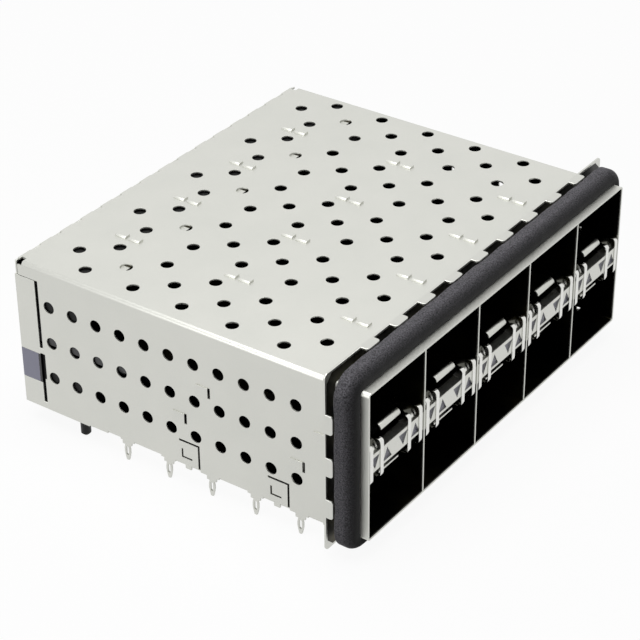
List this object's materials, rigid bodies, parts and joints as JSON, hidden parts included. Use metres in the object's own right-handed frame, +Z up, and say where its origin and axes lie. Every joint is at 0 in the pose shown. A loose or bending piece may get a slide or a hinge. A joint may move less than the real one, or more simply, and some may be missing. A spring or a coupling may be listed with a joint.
{
  "type": "stacked SFP cage and connector assembly",
  "caption": "Stacked board-mount cage for small pluggable transceivers, five columns of ports two high, with foam front gasket, press-fit pins and light pipes.",
  "frame": {"origin": "on the board's upper surface, under the middle connector, on the row of locating pegs", "axes": "+X to the right seen from the port mouths, +Y from the port mouths to the rear, +Z up away from the board"},
  "size_m": [0.076, 0.0638, 0.0309],
  "materials": {
    "cage_steel": "satin tin-plated sheet",
    "spring_steel": "bright rolled spring strip",
    "gasket_foam": "conductive cloth over foam, matt",
    "light_pipe_plastic": "clear-grey moulded",
    "connector_plastic": "matt moulded black",
    "contact_alloy": "gold-plated"
  },
  "bodies": {
    "root": {"cage_shell": "cage_steel", "bottom_plate": "cage_steel", "rear_cover": "cage_steel", "gasket_flange": "spring_steel", "front_gasket": "gasket_foam", "divider_1": "cage_steel", "divider_2": "cage_steel", "divider_3": "cage_steel", "divider_4": "cage_steel", "separator_1": "cage_steel", "port_spring_1": "spring_steel", "light_pipe_1": "light_pipe_plastic", "connector_1": "connector_plastic", "contacts_1": "contact_alloy", "separator_2": "cage_steel", "port_spring_2": "spring_steel", "light_pipe_2": "light_pipe_plastic", "connector_2": "connector_plastic", "contacts_2": "contact_alloy", "separator_3": "cage_steel", "port_spring_3": "spring_steel", "light_pipe_3": "light_pipe_plastic", "connector_3": "connector_plastic", "contacts_3": "contact_alloy", "separator_4": "cage_steel", "port_spring_4": "spring_steel", "light_pipe_4": "light_pipe_plastic", "connector_4": "connector_plastic", "contacts_4": "contact_alloy", "separator_5": "cage_steel", "port_spring_5": "spring_steel", "light_pipe_5": "light_pipe_plastic", "connector_5": "connector_plastic", "contacts_5": "contact_alloy"}
  },
  "joints": []
}
